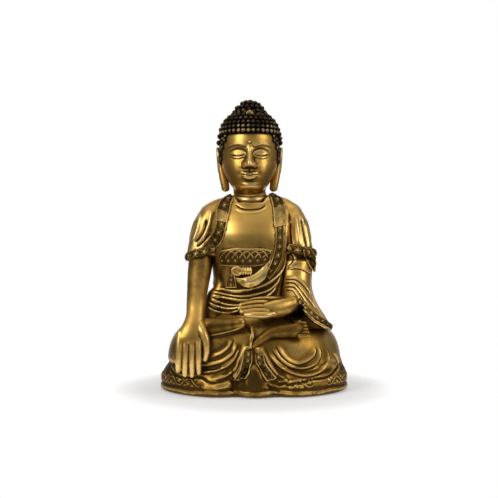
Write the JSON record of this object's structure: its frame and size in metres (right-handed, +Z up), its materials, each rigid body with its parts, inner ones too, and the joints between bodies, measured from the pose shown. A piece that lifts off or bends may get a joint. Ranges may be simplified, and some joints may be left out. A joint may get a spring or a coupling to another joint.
{
  "type": "seated buddha statue",
  "caption": "Seated figure in the earth-touching pose, cast in sections with draped robe, bordered hems, snail-curl hair and a spread flat base.",
  "frame": {"origin": "on the ground, at the middle of the base", "axes": "+Z up, the figure faces -Y, its right hand is towards -X"},
  "size_m": [0.292, 0.2001, 0.45],
  "materials": {
    "gilt_brass": "antique gilt brass, rubbed bright on the high places",
    "border_brass": "chased brass with dark patina in the recesses",
    "dark_brass": "dull dark brass plate",
    "dark_hair": "dark brown painted brass, worn on the tips",
    "steel": "plain steel pins and screws"
  },
  "bodies": {
    "root": {"base_plate": "dark_brass", "base_screws": "steel", "skirt_hem": "gilt_brass", "lap": "gilt_brass", "front_tongue": "gilt_brass", "right_front_panel": "border_brass", "left_front_panel": "border_brass", "right_foot": "gilt_brass", "right_shin_drape": "gilt_brass", "centre_tie": "gilt_brass", "torso": "gilt_brass", "waist_pins": "steel", "chest_band": "border_brass", "sash_knot": "gilt_brass", "sash_end": "border_brass", "robe_lapel": "gilt_brass", "right_robe_border": "border_brass", "left_robe_border": "border_brass", "right_sleeve": "gilt_brass", "right_cuff": "border_brass", "right_arm": "gilt_brass", "right_arm_pin": "steel", "right_hand": "gilt_brass", "left_sleeve": "gilt_brass", "left_cuff": "border_brass", "left_forearm_sleeve": "gilt_brass", "left_mouth_border": "border_brass", "left_hand": "gilt_brass", "shoulder_dowels": "steel", "head": "gilt_brass", "neck_pin": "steel", "right_ear": "gilt_brass", "left_ear": "gilt_brass", "hair_cap": "dark_hair", "hair_curls": "dark_hair", "ushnisha_curls": "dark_hair", "crown_jewel": "gilt_brass"}
  },
  "joints": []
}
